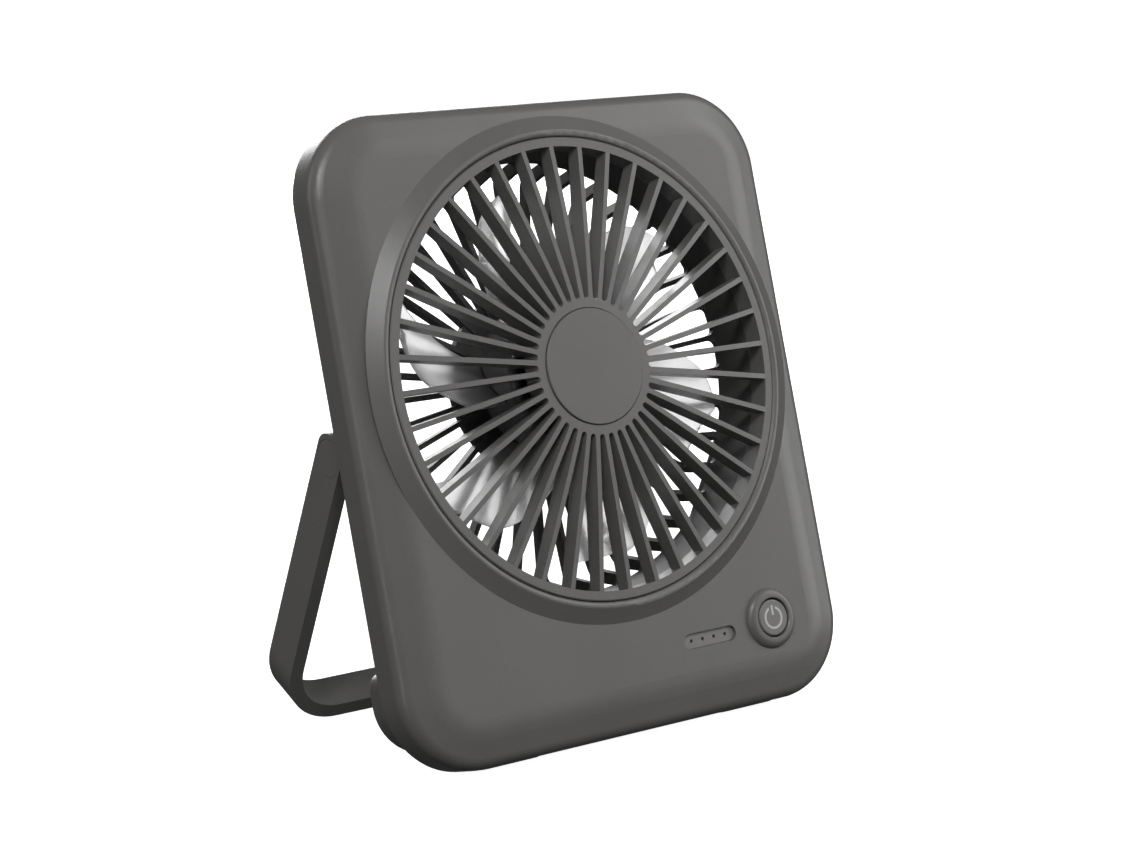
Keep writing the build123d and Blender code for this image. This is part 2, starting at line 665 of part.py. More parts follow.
with BuildPart() as stator_windings:
    with BuildSketch(depth(STATOR_BACK_Y + COIL_BUILD)):
        with PolarLocations(COIL_MIDDLE_R, POLE_COUNT):
            Rectangle(COIL_LENGTH, TOOTH_WIDTH + 2 * COIL_BUILD)
    extrude(amount=STATOR_BACK_Y - STATOR_FRONT_Y + 2 * COIL_BUILD)
    with BuildSketch(depth(STATOR_BACK_Y)):
        with PolarLocations(TOOTH_MIDDLE_R, POLE_COUNT):
            Rectangle(TOOTH_LENGTH, TOOTH_WIDTH)
    extrude(amount=STATOR_BACK_Y - STATOR_FRONT_Y, mode=Mode.SUBTRACT)
keep("stator_windings", stator_windings)

with BuildPart() as magnet_ring:
    add(tube(YOKE_INNER_R, STATOR_R + AIR_GAP, MAGNET_FRONT_Y, MAGNET_BACK_Y))
keep("magnet_ring", magnet_ring)

with BuildPart() as rotor_yoke:
    add(tube(HUB_BORE_R, YOKE_INNER_R, HUB_PLATE_Y + YOKE_PLATE, HUB_BACK_Y))
    add(tube(HUB_BORE_R, SHAFT_R, HUB_PLATE_Y, HUB_PLATE_Y + YOKE_PLATE))
keep("rotor_yoke", rotor_yoke)

with BuildPart() as motor_shaft:
    add(tube(SHAFT_R, 0, SHAFT_FRONT_Y, SHAFT_BACK_Y))
    chamfer(motor_shaft.edges(), length=SHAFT_EDGE)
keep("motor_shaft", motor_shaft)

# ==============================================================================================
# Impeller
# ==============================================================================================
def blade_plane(radius, angle):
    """Plane square to the radius at this angle; its local Y points to the front of the fan."""
    out = (cos(radians(angle)), 0, sin(radians(angle)))
    around = (-out[2], 0, out[0])
    return Plane(origin=(radius * out[0], 0, radius * out[2]), x_dir=around, z_dir=out)


def blade_section(radius, sweep, spread, camber):
    """Cambered section of a blade from its rear leading edge to its front trailing edge."""
    reach = radius * sin(radians(spread))
    rise = (BLADE_REAR_Y - BLADE_FRONT_Y) / 2
    mid_y = -(BLADE_REAR_Y + BLADE_FRONT_Y) / 2
    span = (reach**2 + rise**2) ** 0.5
    normal = (rise / span, -reach / span)
    edge = BLADE_EDGE / 2

    def at(share, lift):
        """Point at a share of the half chord, lifted off it square to the chord."""
        return (share * reach + lift * normal[0], mid_y + share * rise + lift * normal[1])

    with BuildSketch(blade_plane(radius, sweep)) as section:
        with BuildLine():
            ThreePointArc(at(-1, -edge), at(0, camber - BLADE_THICKNESS / 2), at(1, -edge))
            Line(at(1, -edge), at(1, edge))
            ThreePointArc(at(1, edge), at(0, camber + BLADE_THICKNESS / 2), at(-1, edge))
            Line(at(-1, edge), at(-1, -edge))
        make_face()
    return section.sketch


with BuildPart() as blade:
    for radius, sweep, spread, camber in BLADE_SECTIONS:
        add(blade_section(radius, sweep, spread, camber))
    loft()

with BuildPart() as impeller:
    with BuildSketch(Plane.XY):
        with BuildLine():
            FilletPolyline(
                (SHAFT_R, HUB_FRONT_Y),
                (IMPELLER_HUB_R, HUB_FRONT_Y),
                (IMPELLER_HUB_R, HUB_BACK_Y),
                radius=HUB_EDGE,
            )
            Polyline(
                (IMPELLER_HUB_R, HUB_BACK_Y),
                (HUB_BORE_R, HUB_BACK_Y),
                (HUB_BORE_R, HUB_PLATE_Y),
                (SHAFT_R, HUB_PLATE_Y),
                (SHAFT_R, HUB_FRONT_Y),
            )
        make_face()
    revolve(axis=Axis.Y)
    for turn in range(BLADE_COUNT):
        add(blade.part.rotate(Axis.Y, -BLADE_ANGLE - 360 / BLADE_COUNT * turn))
keep("impeller", impeller)

with BuildPart() as impeller_nut:
    with BuildSketch(depth(HUB_FRONT_Y)):
        RegularPolygon(NUT_R, 6)
        Circle(SHAFT_R, mode=Mode.SUBTRACT)
    extrude(amount=NUT_HEIGHT)
keep("impeller_nut", impeller_nut)

# ==============================================================================================
# Battery, control board, button and indicators
# ==============================================================================================
with BuildPart() as battery_cells:
    for side in (-1, 1):
        with BuildSketch(Plane.YZ.offset(side * CELL_HALF_GAP)):
            with Locations((CELL_Y, CELL_Z)):
                Circle(CELL_R)
        extrude(amount=side * CELL_LENGTH)
    fillet(battery_cells.edges().filter_by(GeomType.CIRCLE), radius=CELL_EDGE)
keep("battery_cells", battery_cells)

with BuildPart() as battery_tabs:
    for side in (-1, 1):
        with BuildSketch(Plane.YZ.offset(side * (CELL_LENGTH + CELL_HALF_GAP))):
            with Locations((CELL_Y, CELL_Z)):
                RectangleRounded(TAB_SIZE[0], TAB_SIZE[1], TAB_CORNER)
        extrude(amount=side * TAB_SIZE[2])
keep("battery_tabs", battery_tabs)

with BuildPart() as battery_tray:
    with BuildSketch(depth(TRAY_BACK_Y)):
        with Locations((0, CELL_Z)):
            RectangleRounded(2 * TRAY_HALF_LENGTH, TRAY_HEIGHT, TRAY_CORNER)
    extrude(amount=TRAY_BACK_Y - TRAY_FRONT_Y)
    end_x = TRAY_HALF_LENGTH - TRAY_END / 2
    for x, thickness in ((0, TRAY_DIVIDER), (end_x, TRAY_END), (-end_x, TRAY_END)):
        with BuildSketch(depth(CELL_Y + TRAY_WALL_REACH)):
            with Locations((x, CELL_Z)):
                Rectangle(thickness, TRAY_HEIGHT - TRAY_CORNER)
        extrude(amount=CELL_Y + TRAY_WALL_REACH - TRAY_FRONT_Y)
keep("battery_tray", battery_tray)

with BuildPart() as control_board:
    with BuildSketch(depth(BOARD_Y + BOARD_THICKNESS)):
        with Locations((BOARD_X, BOARD_Z)):
            RectangleRounded(BOARD_LENGTH, BOARD_HEIGHT, BOARD_CORNER)
    extrude(amount=BOARD_THICKNESS)
keep("control_board", control_board)

with BuildPart() as board_chips:
    with BuildSketch(depth(BOARD_Y)):
        with Locations((44, -86), (44, -97)):
            Rectangle(6, 5)
        with Locations((24, -84), (32, -84), (38, -99)):
            Rectangle(3, 1.8)
        with Locations((72, -84)):
            Rectangle(5.5, 5.5)
    extrude(amount=CHIP_HEIGHT)
keep("board_chips", board_chips)

with BuildPart() as tact_switch:
    with BuildSketch(depth(BOARD_Y)):
        with Locations((BUTTON_X, BUTTON_Z)):
            Rectangle(SWITCH_BODY, SWITCH_BODY)
    extrude(amount=SWITCH_HEIGHT)
    with BuildSketch(depth(BOARD_Y - SWITCH_FLOOR)):
        with Locations((BUTTON_X, BUTTON_Z)):
            Circle(PLUNGER_R + RUNNING_CLEARANCE)
    extrude(amount=SWITCH_HEIGHT, mode=Mode.SUBTRACT)
keep("tact_switch", tact_switch)

with BuildPart() as switch_plunger:
    with BuildSketch(depth(BUTTON_FRONT_Y + BUTTON_SKIN)):
        with Locations((BUTTON_X, BUTTON_Z)):
            Circle(PLUNGER_R)
    extrude(amount=-(BOARD_Y - PLUNGER_REACH - BUTTON_FRONT_Y - BUTTON_SKIN))
keep("switch_plunger", switch_plunger)

with BuildPart() as power_symbol:
    with BuildSketch(depth(BUTTON_FRONT_Y + SYMBOL_DEPTH)):
        with Locations((BUTTON_X, BUTTON_Z)):
            Circle(SYMBOL_R + SYMBOL_STROKE / 2)
            Circle(SYMBOL_R - SYMBOL_STROKE / 2, mode=Mode.SUBTRACT)
        with Locations((BUTTON_X, BUTTON_Z + SYMBOL_R)):
            Rectangle(*SYMBOL_GAP, mode=Mode.SUBTRACT)
        with Locations((BUTTON_X, BUTTON_Z + SYMBOL_R - SYMBOL_BAR_DROP)):
            SlotOverall(SYMBOL_BAR_LENGTH, SYMBOL_STROKE, rotation=90)
    extrude(amount=SYMBOL_DEPTH)
keep("power_symbol", power_symbol)

with BuildPart() as power_button:
    with BuildSketch(Plane.XY.offset(BUTTON_Z)):
        with BuildLine():
            FilletPolyline(
                (BUTTON_X, BUTTON_FRONT_Y),
                (BUTTON_X + BUTTON_R, BUTTON_FRONT_Y),
                (BUTTON_X + BUTTON_R, BUTTON_FLANGE_Y),
                radius=BUTTON_EDGE,
            )
            Polyline(
                (BUTTON_X + BUTTON_R, BUTTON_FLANGE_Y),
                (BUTTON_X + BUTTON_R + BUTTON_FLANGE, BUTTON_FLANGE_Y),
                (BUTTON_X + BUTTON_R + BUTTON_FLANGE, BUTTON_FLANGE_Y + BUTTON_FLANGE_DEPTH),
                (BUTTON_X + BUTTON_R - BUTTON_FLANGE, BUTTON_FLANGE_Y + BUTTON_FLANGE_DEPTH),
                (BUTTON_X + BUTTON_R - BUTTON_FLANGE, BUTTON_FRONT_Y + BUTTON_SKIN),
                (BUTTON_X, BUTTON_FRONT_Y + BUTTON_SKIN),
                (BUTTON_X, BUTTON_FRONT_Y),
            )
        make_face()
    revolve(axis=Axis((BUTTON_X, 0, BUTTON_Z), (0, 1, 0)))
    add(power_symbol.part, mode=Mode.SUBTRACT)
keep("power_button", power_button)

with BuildPart() as indicator_window:
    with BuildSketch(depth(FACE_Y + WALL)):
        with Locations((LED_X, LED_Z)):
            SlotOverall(LED_SLOT_LENGTH - SCREW_GAP, LED_SLOT_HEIGHT - SCREW_GAP)
    extrude(amount=WALL - LED_RECESS)
    with BuildSketch(depth(FACE_Y + WALL + WINDOW_FLANGE_DEPTH)):
        with Locations((LED_X, LED_Z)):
            SlotOverall(LED_SLOT_LENGTH + 2 * WINDOW_FLANGE, LED_SLOT_HEIGHT + 2 * WINDOW_FLANGE)
    extrude(amount=WINDOW_FLANGE_DEPTH)
    with BuildSketch(depth(FACE_Y + WALL + WINDOW_FLANGE_DEPTH)):
        with Locations((LED_X, LED_Z)):
            with GridLocations(LED_PITCH, 1, LED_COUNT, 1):
                Circle(LED_PIPE_R)
    extrude(amount=WALL + WINDOW_FLANGE_DEPTH, mode=Mode.SUBTRACT)
keep("indicator_window", indicator_window)

with BuildPart() as indicator_leds:
    with BuildSketch(depth(BOARD_Y)):
        with Locations((LED_X, LED_Z)):
            with GridLocations(LED_PITCH, 1, LED_COUNT, 1):
                Rectangle(LED_BODY[0], LED_BODY[1])
    extrude(amount=LED_BODY[2])
    with BuildSketch(depth(BOARD_Y - LED_BODY[2])):
        with Locations((LED_X, LED_Z)):
            with GridLocations(LED_PITCH, 1, LED_COUNT, 1):
                Circle(LED_LENS_R)
    extrude(amount=LED_LENS_HEIGHT)
keep("indicator_leds", indicator_leds)

with BuildPart() as usb_socket:
    with BuildSketch(Plane.YZ.offset(HALF_WIDTH - USB_SINK)):
        with Locations((USB_Y, USB_Z)):
            SlotOverall(*USB_SHELL, rotation=90)
            SlotOverall(*USB_MOUTH, rotation=90, mode=Mode.SUBTRACT)
    extrude(amount=-USB_LENGTH)
    with BuildSketch(Plane.YZ.offset(HALF_WIDTH - USB_SINK - USB_BACK_DEPTH)):
        with Locations((USB_Y, USB_Z)):
            SlotOverall(*USB_SHELL, rotation=90)
    extrude(amount=-USB_BACK_THICKNESS)
    with BuildSketch(Plane.YZ.offset(HALF_WIDTH - USB_TONGUE_SINK)):
        with Locations((USB_Y, USB_Z)):
            Rectangle(*USB_TONGUE)
    extrude(amount=-USB_BACK_DEPTH)
keep("usb_socket", usb_socket)

# ==============================================================================================
# Stand
# ==============================================================================================
with BuildPart() as stand:
    with BuildSketch(depth(PIVOT_Y + STAND_BAND / 2)):
        with Locations((0, PIVOT_Z - STAND_REACH)):
            RectangleRounded(
                2 * STAND_HALF_WIDTH,
                2 * STAND_REACH,
                STAND_CORNER,
                align=(Align.CENTER, Align.MIN),
            )
            with Locations((0, STAND_THICKNESS)):
                RectangleRounded(
                    2 * (STAND_HALF_WIDTH - STAND_THICKNESS),
                    2 * STAND_REACH,
                    STAND_CORNER - STAND_THICKNESS,
                    align=(Align.CENTER, Align.MIN),
                    mode=Mode.SUBTRACT,
                )
        with Locations((0, PIVOT_Z + STAND_END)):
            Rectangle(CASE_WIDTH, CASE_HEIGHT, align=(Align.CENTER, Align.MAX), mode=Mode.INTERSECT)
    extrude(amount=STAND_BAND)
    ends = stand.edges().filter_by(Axis.X).group_by(Axis.Z)[-1]
    fillet(ends, radius=STAND_END_ROUND)
    for side in (-1, 1):
        face_x = side * STAND_HALF_WIDTH
        with BuildSketch(Plane.YZ.offset(face_x)):
            with Locations((PIVOT_Y, PIVOT_Z)):
                Circle(PIVOT_CAP_R + PIVOT_CAP_GAP)
        extrude(amount=-side * PIVOT_CAP_SEAT, mode=Mode.SUBTRACT)
        with BuildSketch(Plane.YZ.offset(face_x)):
            with Locations((PIVOT_Y, PIVOT_Z)):
                Circle(PIN_HEAD_R + PIN_HEAD_GAP)
        extrude(amount=-side * PIN_POCKET, mode=Mode.SUBTRACT)
        with BuildSketch(Plane.YZ.offset(face_x)):
            with Locations((PIVOT_Y, PIVOT_Z)):
                Circle(PIVOT_PIN_R + RUNNING_CLEARANCE)
        extrude(amount=-side * (STAND_THICKNESS + CUT), mode=Mode.SUBTRACT)
    with BuildSketch(Plane.XY.offset(PIVOT_Z - STAND_REACH)):
        with Locations((-STAND_PAD_X, STAND_PAD_Y), (STAND_PAD_X, STAND_PAD_Y)):
            SlotOverall(BODY_PAD_LENGTH, PAD_WIDTH)
    extrude(amount=PAD_DEPTH, mode=Mode.SUBTRACT)
keep("stand", stand)

with BuildPart() as stand_pads:
    with BuildSketch(Plane.XY.offset(PIVOT_Z - STAND_REACH - PAD_PROUD)):
        with Locations((-STAND_PAD_X, STAND_PAD_Y), (STAND_PAD_X, STAND_PAD_Y)):
            SlotOverall(BODY_PAD_LENGTH, PAD_WIDTH)
    extrude(amount=PAD_DEPTH + PAD_PROUD)
keep("stand_pads", stand_pads)

for name, side in (("left", -1), ("right", 1)):
    with BuildPart() as pivot_pin:
        with BuildSketch(Plane.YZ.offset(side * (REAR_HALF_WIDTH - LUG_LENGTH))):
            with Locations((PIVOT_Y, PIVOT_Z)):
                Circle(PIVOT_PIN_R)
        head_x = STAND_HALF_WIDTH - PIN_POCKET + PIN_PROUD
        extrude(amount=side * (head_x - REAR_HALF_WIDTH + LUG_LENGTH))
        with BuildSketch(Plane.YZ.offset(side * head_x)):
            with Locations((PIVOT_Y, PIVOT_Z)):
                Circle(PIN_HEAD_R)
        extrude(amount=side * PIN_HEAD_HEIGHT)
    keep(f"pivot_pin_{name}", pivot_pin)

    with BuildPart() as pivot_cap:
        with BuildSketch(Plane.YZ.offset(side * (STAND_HALF_WIDTH - PIVOT_CAP_SEAT))):
            with Locations((PIVOT_Y, PIVOT_Z)):
                Circle(PIVOT_CAP_R)
        extrude(amount=side * PIVOT_CAP_THICKNESS)
    keep(f"pivot_cap_{name}", pivot_cap)

    with BuildPart() as friction_washer:
        with BuildSketch(Plane.YZ.offset(side * REAR_HALF_WIDTH)):
            with Locations((PIVOT_Y, PIVOT_Z)):
                Circle(WASHER_R)
                Circle(PIVOT_PIN_R, mode=Mode.SUBTRACT)
        extrude(amount=side * WASHER_THICKNESS)
    keep(f"friction_washer_{name}", friction_washer)

# ==============================================================================================
# Pose, and the files
# ==============================================================================================
pivot_axis = Axis((0, PIVOT_Y, PIVOT_Z), (1, 0, 0))
for name in ("stand", "stand_pads", "pivot_cap_left", "pivot_cap_right"):
    pieces[name] = pieces[name].rotate(pivot_axis, STAND_OPEN)

# the case rests on the rear edge of its pads, and the stand on the front edge of its own
body_contact = (BODY_PAD_Y + PAD_WIDTH / 2, CASE_BOTTOM - PAD_PROUD)
pad_front = STAND_PAD_Y - PAD_WIDTH / 2 - PIVOT_Y
pad_below = -STAND_REACH - PAD_PROUD
opened = radians(STAND_OPEN)
stand_contact = (
    PIVOT_Y + pad_front * cos(opened) - pad_below * sin(opened),
    PIVOT_Z + pad_front * sin(opened) + pad_below * cos(opened),
)
lean = atan2(stand_contact[1] - body_contact[1], stand_contact[0] - body_contact[0])

leant = {name: piece.rotate(Axis.X, -degrees(lean)) for name, piece in pieces.items()}
boxes = [piece.bounding_box() for piece in leant.values()]
front_y = min(box.min.Y for box in boxes)
rear_y = max(box.max.Y for box in boxes)
floor_z = min(box.min.Z for box in boxes)
to_floor = Vector(0, -(front_y + rear_y) / 2, -floor_z)

os.makedirs("parts", exist_ok=True)
for name, piece in leant.items():
    placed = piece.translate(to_floor)
    placed.label = name
    export_step(placed, f"parts/{name}.step")


def stood(y, z):
    """Place in the standing fan of a point of the upright case on its middle plane."""
    return (
        round(y * cos(lean) + z * sin(lean) + to_floor.Y, 4),
        round(z * cos(lean) - y * sin(lean) + to_floor.Z, 4),
    )


print("nodes", len(pieces))
print("depth", rear_y - front_y)
print("lean", degrees(lean), "shift", to_floor)
print("fan axis passes", stood(0, 0), "pivot", stood(PIVOT_Y, PIVOT_Z), "button", stood(0, BUTTON_Z))
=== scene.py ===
"""Looks of the rechargeable desk fan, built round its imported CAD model. Lengths are in metres."""

import json
from math import cos, pi, radians, sin

import bmesh
import bpy
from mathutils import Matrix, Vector


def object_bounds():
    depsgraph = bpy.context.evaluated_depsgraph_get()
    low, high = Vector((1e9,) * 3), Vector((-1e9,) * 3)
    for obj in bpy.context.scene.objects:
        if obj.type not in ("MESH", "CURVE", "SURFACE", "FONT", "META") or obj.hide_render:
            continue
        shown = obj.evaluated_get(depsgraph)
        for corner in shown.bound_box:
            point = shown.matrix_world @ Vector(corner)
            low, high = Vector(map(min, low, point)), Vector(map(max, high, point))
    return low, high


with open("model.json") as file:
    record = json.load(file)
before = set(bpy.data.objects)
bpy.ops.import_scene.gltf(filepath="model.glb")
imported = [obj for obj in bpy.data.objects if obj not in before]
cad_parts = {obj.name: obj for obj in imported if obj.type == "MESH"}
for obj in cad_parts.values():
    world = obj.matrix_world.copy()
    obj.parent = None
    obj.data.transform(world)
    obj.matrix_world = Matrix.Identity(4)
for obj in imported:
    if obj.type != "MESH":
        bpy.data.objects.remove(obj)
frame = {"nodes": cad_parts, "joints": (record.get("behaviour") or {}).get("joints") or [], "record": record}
cad_low, cad_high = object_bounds()
nodes = frame["nodes"]

MM = 0.001
CENTRE = (cad_low + cad_high) / 2
JOINTS = {joint["name"]: joint for joint in frame["joints"]}
FAN_CENTRE = Vector(JOINTS["fan_spin"]["pos_m"])
FAN_AXIS = Vector(JOINTS["fan_spin"]["axis"]).normalized()

# Camera: azimuth in degrees from straight in front (-Y), negative towards -X; lens and sensor in mm
CAMERA_AZIMUTH = -37.04
CAMERA_ELEVATION = 12.03
CAMERA_DISTANCE = 0.91
CAMERA_LENS = 88.95
CAMERA_SENSOR = 36
CAMERA_AIM = CENTRE + Vector((-0.0002, -0.0080, -0.0033))

# Impeller: the radii that its painted shade is spread over, from just outside the hub to the blade tips
HUB_RADIUS = 0.0252
TIP_RADIUS = 0.0615

# Floor: flat in the middle, and bent up into a wall at its reach
FLOOR_MIDDLE = 0.4
FLOOR_REACH = 3.0
FLOOR_BEND = 1.2
FLOOR_BEND_STEPS = 12
FLOOR_HEIGHT = 4.0
FLOOR_SIDES = 64
FLOOR_BRIGHTNESS = 0.95
FLOOR_GLOW = 1.0

# Sky: brightness at the horizon, brightness overhead, and how far up it stops changing
SKY_LOW = 0.05
SKY_HIGH = 0.14
SKY_TOP = 0.8

# Lights: name, azimuth and elevation in degrees, distance, width, height, and watts
LIGHTS = [
    ("key", 60, 22, 1.0, 0.4, 1.0, 4.2),
    ("fill", 30, 20, 1.2, 0.4, 1.0, 1.2),
    ("upper_left", -40, 40, 1.5, 0.5, 0.5, 4.2),
    ("corner_glint", -48, 46, 1.5, 0.22, 0.22, 3.0),
    ("bezel_glint", -22, 46, 1.5, 0.14, 0.14, 3.2),
    ("left_strip", -62, 14, 1.3, 0.1, 0.9, 1.3),
    ("rear_left", -120, 20, 1.3, 0.3, 0.9, 1.6),
    ("back", 162, 12, 1.4, 0.9, 0.8, 13),
]

# Noise scales per metre, from broad clouds of colour to the grain and specks of a moulding
CLOUDS = 22
GLOSS_PATCHES = 60
GRAIN = 2600
SPECKS = 5200

# Colour casts: shares of red, green and blue
NEUTRAL = (1.0, 1.0, 1.0)
WARM = (1.025, 1.0, 0.975)


# ==============================================================================================
# Materials
# ==============================================================================================
def grey(value):
    """Opaque neutral colour."""
    return (value, value, value, 1.0)


class Look:
    """A node material under construction, with short ways to add nodes."""

    def __init__(self, name):
        self.material = bpy.data.materials.new(name)
        self.material.use_nodes = True
        self.tree = self.material.node_tree
        self.shader = self.tree.nodes["Principled BSDF"]
        self.place = self.tree.nodes.new("ShaderNodeTexCoord").outputs["Object"]

    def node(self, kind, **settings):
        """Add a node, set its properties, and return it."""
        made = self.tree.nodes.new(kind)
        for key, value in settings.items():
            setattr(made, key, value)
        return made

    def link(self, source, target):
        """Join an output to an input."""
        self.tree.links.new(source, target)

    def feed(self, source, socket):
        """Join an output to one of the shader's own inputs."""
        self.link(source, self.shader.inputs[socket])

    def noise(self, scale, detail=3.0, roughness=0.5):
        """Noise value over the object's own coordinates, scale per metre."""
        made = self.node("ShaderNodeTexNoise")
        made.inputs["Scale"].default_value = scale
        made.inputs["Detail"].default_value = detail
        made.inputs["Roughness"].default_value = roughness
        self.link(self.place, made.inputs["Vector"])
        return made.outputs["Fac"]

    def ramp(self, value, *stops):
        """Colour ramp of (position, colour) stops over a value."""
        made = self.node("ShaderNodeValToRGB")
        ends = made.color_ramp.elements
        while len(ends) < len(stops):
            ends.new(0.5)
        for element, (position, colour) in zip(ends, stops):
            element.position = position
            element.color = colour
        self.link(value, made.inputs["Fac"])
        return made.outputs["Color"]

    def multiply(self, first, second):
        """Product of two colours."""
        made = self.node("ShaderNodeMix", data_type="RGBA", blend_type="MULTIPLY")
        made.inputs["Factor"].default_value = 1.0
        self.link(first, made.inputs["A"])
        self.link(second, made.inputs["B"])
        return made.outputs["Result"]

    def bump(self, height, strength, distance):
        """Bump from a height."""
        made = self.node("ShaderNodeBump")
        made.inputs["Strength"].default_value = strength
        made.inputs["Distance"].default_value = distance
        self.link(height, made.inputs["Height"])
        return made.outputs["Normal"]


def moulded_plastic(name, colour, roughness, grain, cast=NEUTRAL):
    """Moulded plastic: fine spark-eroded grain, specks and faint flow variation."""
    look = Look(name)
    base = [colour * share for share in cast]
    dark = (*[value * 0.955 for value in base], 1.0)
    light = (*[value * 1.045 for value in base], 1.0)
    tint = look.ramp(look.noise(CLOUDS, 4), (0.3, dark), (0.7, light))
    fine = look.noise(SPECKS, 2, 0.6)
    specks = look.ramp(fine, (0.25, grey(0.93)), (0.75, grey(1.07)))
    look.feed(look.multiply(tint, specks), "Base Color")
    patches = look.noise(GLOSS_PATCHES, 5)
    smooth, rough = grey(roughness - 0.03), grey(roughness + 0.04)
    look.feed(look.ramp(patches, (0.2, smooth), (0.8, rough)), "Roughness")
    look.feed(look.bump(look.noise(GRAIN, 3, 0.65), grain, 0.06 * MM), "Normal")
    look.shader.inputs["Specular IOR Level"].default_value = 0.5
    return look.material


def frosted_blades_with_painted_shade(name, hub_radius, tip_radius):
    """Frosted milky plastic of the impeller, near-black at the hub, with painted shade that darkens the
    blades towards the hub.
    """
    look = Look(name)
    outward = look.node("ShaderNodeVectorMath", operation="SUBTRACT")
    look.link(look.place, outward.inputs[0])
    outward.inputs[1].default_value = FAN_CENTRE
    across = look.node("ShaderNodeVectorMath", operation="CROSS_PRODUCT")
    look.link(outward.outputs["Vector"], across.inputs[0])
    across.inputs[1].default_value = FAN_AXIS
    radius = look.node("ShaderNodeVectorMath", operation="LENGTH")
    look.link(across.outputs["Vector"], radius.inputs[0])
    share = look.node("ShaderNodeMapRange")
    look.link(radius.outputs["Value"], share.inputs["Value"])
    share.inputs["From Min"].default_value = hub_radius
    share.inputs["From Max"].default_value = tip_radius
    # Painted shade: the base colour is near-black at the hub and lightens outwards along the blades,
    # reaching full brightness well before the tips.
    tint = look.ramp(
        share.outputs["Result"],
        (0.0, grey(0.07)),
        (0.03, grey(0.30)),
        (0.35, grey(0.70)),
        (0.60, grey(0.98)),
    )
    clouds = look.ramp(look.noise(45, 4), (0.3, grey(0.93)), (0.7, grey(1.0)))
    look.feed(look.multiply(tint, clouds), "Base Color")
    frost = look.ramp(look.noise(70, 4), (0.2, grey(0.28)), (0.8, grey(0.36)))
    look.feed(frost, "Roughness")
    look.feed(look.bump(look.noise(900, 3), 0.08, 0.05 * MM), "Normal")
    look.shader.inputs["Transmission Weight"].default_value = 0.7
    look.shader.inputs["IOR"].default_value = 1.3
    look.shader.inputs["Coat Weight"].default_value = 0.6
    look.shader.inputs["Coat Roughness"].default_value = 0.2
    return look.material


def metal(name, colour, roughness):
    """Turned or plated metal with fine tool marks."""
    look = Look(name)
    look.shader.inputs["Metallic"].default_value = 1.0
    dark = (*[value * 0.9 for value in colour], 1.0)
    tint = look.ramp(look.noise(300, 4), (0.3, dark), (0.7, (*colour, 1.0)))
    look.feed(tint, "Base Color")
    smooth, rough = grey(roughness - 0.05), grey(roughness + 0.08)
    look.feed(look.ramp(look.noise(900, 3), (0.2, smooth), (0.8, rough)), "Roughness")
    look.feed(look.bump(look.noise(4000, 2), 0.2, 0.02 * MM), "Normal")
    return look.material


# The looks by the record's material slots
SLOT_LOOKS = {
    "case": moulded_plastic("case_plastic", 0.138, 0.32, 0.45, WARM),
    "stand": moulded_plastic("stand_plastic", 0.155, 0.42, 0.35, WARM),
    "inner_black": moulded_plastic("inner_plastic", 0.075, 0.5, 0.25, WARM),
    "button": moulded_plastic("button_plastic", 0.175, 0.36, 0.25, WARM),
    "symbol": moulded_plastic("symbol_plastic", 0.50, 0.35, 0.1),
    # The blade look has painted shade that darkens the blades towards the hub.
    "blade": frosted_blades_with_painted_shade("blade_plastic_painted_shade", HUB_RADIUS, TIP_RADIUS),
    "steel": metal("steel", (0.56, 0.56, 0.57), 0.3),
    "core": metal("laminated", (0.3, 0.3, 0.32), 0.45),
    "copper": metal("copper", (0.72, 0.33, 0.14), 0.35),
    "magnet": metal("magnet", (0.12, 0.12, 0.13), 0.5),
    "cell_wrap": moulded_plastic("cell_wrap", 0.25, 0.3, 0.05, (0.3, 0.8, 1.4)),
    "nickel": metal("nickel", (0.66, 0.64, 0.6), 0.25),
    "board": moulded_plastic("board_resin", 0.06, 0.3, 0.1, (0.3, 1.3, 0.6)),
    "chip": moulded_plastic("chip_resin", 0.02, 0.5, 0.3),
    "led": moulded_plastic("led_resin", 0.7, 0.2, 0.05, (1.0, 1.0, 0.95)),
    "rubber": moulded_plastic("rubber", 0.03, 0.75, 0.6),
}

# Nodes that look different from the rest of their slot
NODE_LOOKS = {
    "indicator_window": moulded_plastic("window_plastic", 0.19, 0.3, 0.2, WARM),
}

for entry in frame["record"]["subparts"]:
    materials = nodes[entry["node"]].data.materials
    materials.clear()
    materials.append(NODE_LOOKS.get(entry["node"], SLOT_LOOKS[entry["material_slot"]]))


# ==============================================================================================
# Floor, lights, camera
# ==============================================================================================
def white_surface(name, brightness, glow):
    """Plain pale matt surface, evenly lit from within so that it stays white all round."""
    look = Look(name)
    tone = look.ramp(look.noise(8, 2), (0.3, grey(brightness - 0.01)), (0.7, grey(brightness)))
    look.feed(tone, "Base Color")
    look.feed(tone, "Emission Color")
    look.shader.inputs["Emission Strength"].default_value = glow
    look.shader.inputs["Roughness"].default_value = 0.9
    look.shader.inputs["Specular IOR Level"].default_value = 0.1
    return look.material


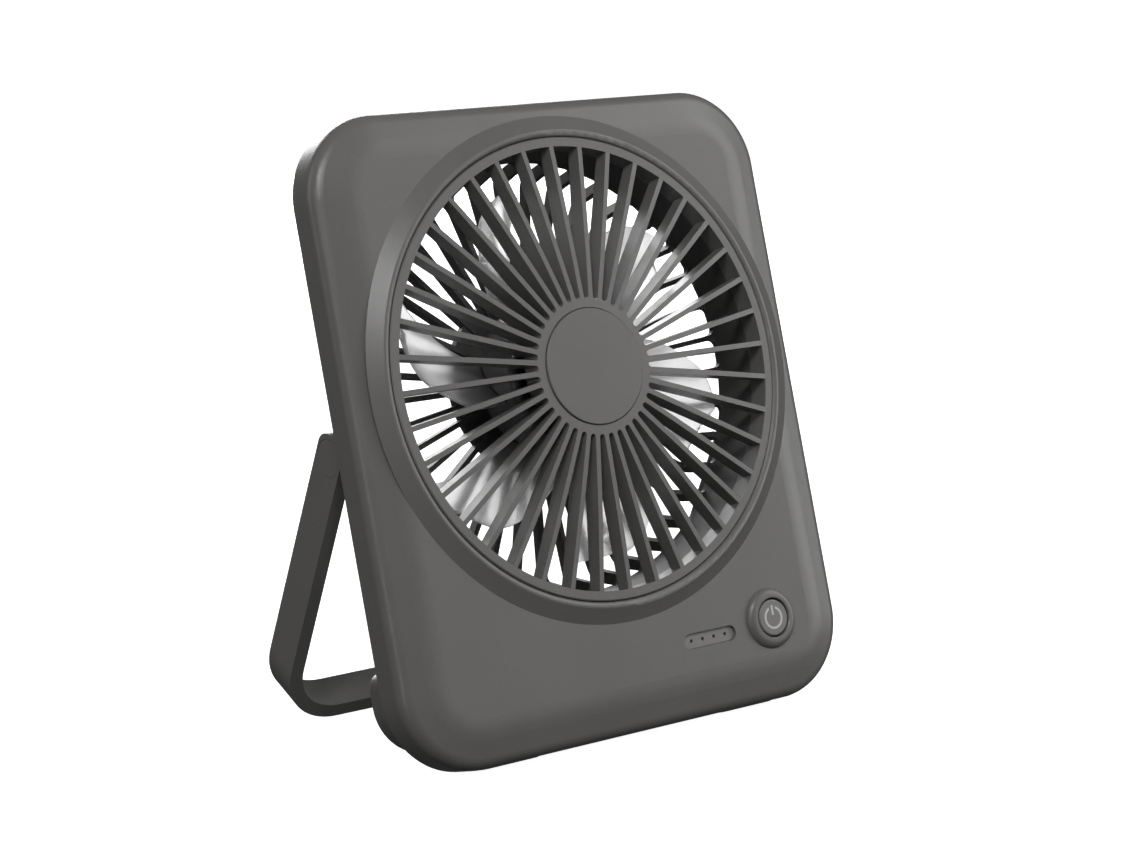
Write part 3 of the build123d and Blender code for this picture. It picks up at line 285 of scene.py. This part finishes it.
def backdrop():
    """Round pale floor that curves up into a wall far away on every side."""
    flat = FLOOR_REACH - FLOOR_BEND
    profile = [(FLOOR_MIDDLE, 0.0), (flat, 0.0)]
    for step in range(1, FLOOR_BEND_STEPS + 1):
        angle = pi / 2 * step / FLOOR_BEND_STEPS
        profile.append((flat + FLOOR_BEND * sin(angle), FLOOR_BEND - FLOOR_BEND * cos(angle)))
    profile.append((FLOOR_REACH, FLOOR_HEIGHT))
    mesh = bmesh.new()
    middle = mesh.verts.new((0, 0, 0))
    rows = []
    for radius, up in profile:
        ring = []
        for side in range(FLOOR_SIDES):
            angle = 2 * pi * side / FLOOR_SIDES
            ring.append(mesh.verts.new((radius * cos(angle), radius * sin(angle), up)))
        rows.append(ring)
    for side in range(FLOOR_SIDES):
        after = (side + 1) % FLOOR_SIDES
        mesh.faces.new((middle, rows[0][side], rows[0][after]))
        for low, high in zip(rows, rows[1:]):
            mesh.faces.new((low[side], high[side], high[after], low[after]))
    data = bpy.data.meshes.new("backdrop")
    mesh.to_mesh(data)
    mesh.free()
    data.materials.append(white_surface("paper", FLOOR_BRIGHTNESS, FLOOR_GLOW))
    data.polygons.foreach_set("use_smooth", [True] * len(data.polygons))
    floor = bpy.data.objects.new("backdrop", data)
    bpy.context.scene.collection.objects.link(floor)
    floor.visible_diffuse = False
    floor.visible_glossy = False
    floor.visible_shadow = False


def direction(azimuth, elevation):
    """Unit vector from the fan towards a place at this azimuth and elevation."""
    a, e = radians(azimuth), radians(elevation)
    return Vector((sin(a) * cos(e), -cos(a) * cos(e), sin(e)))


def place_facing(thing, aim, azimuth, elevation, distance):
    """Put a light or camera this far from the aim, facing it, and add it to the scene."""
    away = direction(azimuth, elevation)
    thing.location = aim + away * distance
    thing.rotation_mode = "QUATERNION"
    thing.rotation_quaternion = (-away).to_track_quat("-Z", "Y")
    bpy.context.scene.collection.objects.link(thing)


def softbox(name, azimuth, elevation, distance, width, height, power):
    """Rectangular light aimed at the fan."""
    data = bpy.data.lights.new(name, "AREA")
    data.shape = "RECTANGLE"
    data.size = width
    data.size_y = height
    data.energy = power
    lamp = bpy.data.objects.new(name, data)
    place_facing(lamp, CENTRE, azimuth, elevation, distance)


def studio_sky():
    """Dim neutral surroundings that get brighter upwards."""
    world = bpy.data.worlds.new("studio")
    world.use_nodes = True
    tree = world.node_tree
    split = tree.nodes.new("ShaderNodeSeparateXYZ")
    tree.links.new(tree.nodes.new("ShaderNodeTexCoord").outputs["Generated"], split.inputs[0])
    ramp = tree.nodes.new("ShaderNodeValToRGB")
    stops = [(0.0, SKY_LOW), (SKY_TOP, SKY_HIGH)]
    for element, (position, brightness) in zip(ramp.color_ramp.elements, stops):
        element.position = position
        element.color = grey(brightness)
    tree.links.new(split.outputs["Z"], ramp.inputs["Fac"])
    tree.links.new(ramp.outputs["Color"], tree.nodes["Background"].inputs["Color"])
    bpy.context.scene.world = world


def main_camera():
    """Camera at three-quarter front left."""
    data = bpy.data.cameras.new("camera")
    data.lens = CAMERA_LENS
    data.sensor_width = CAMERA_SENSOR
    camera = bpy.data.objects.new("camera", data)
    place_facing(camera, CAMERA_AIM, CAMERA_AZIMUTH, CAMERA_ELEVATION, CAMERA_DISTANCE)
    bpy.context.scene.camera = camera


backdrop()
for light in LIGHTS:
    softbox(*light)
studio_sky()
bpy.context.scene.view_settings.view_transform = "Standard"
main_camera()
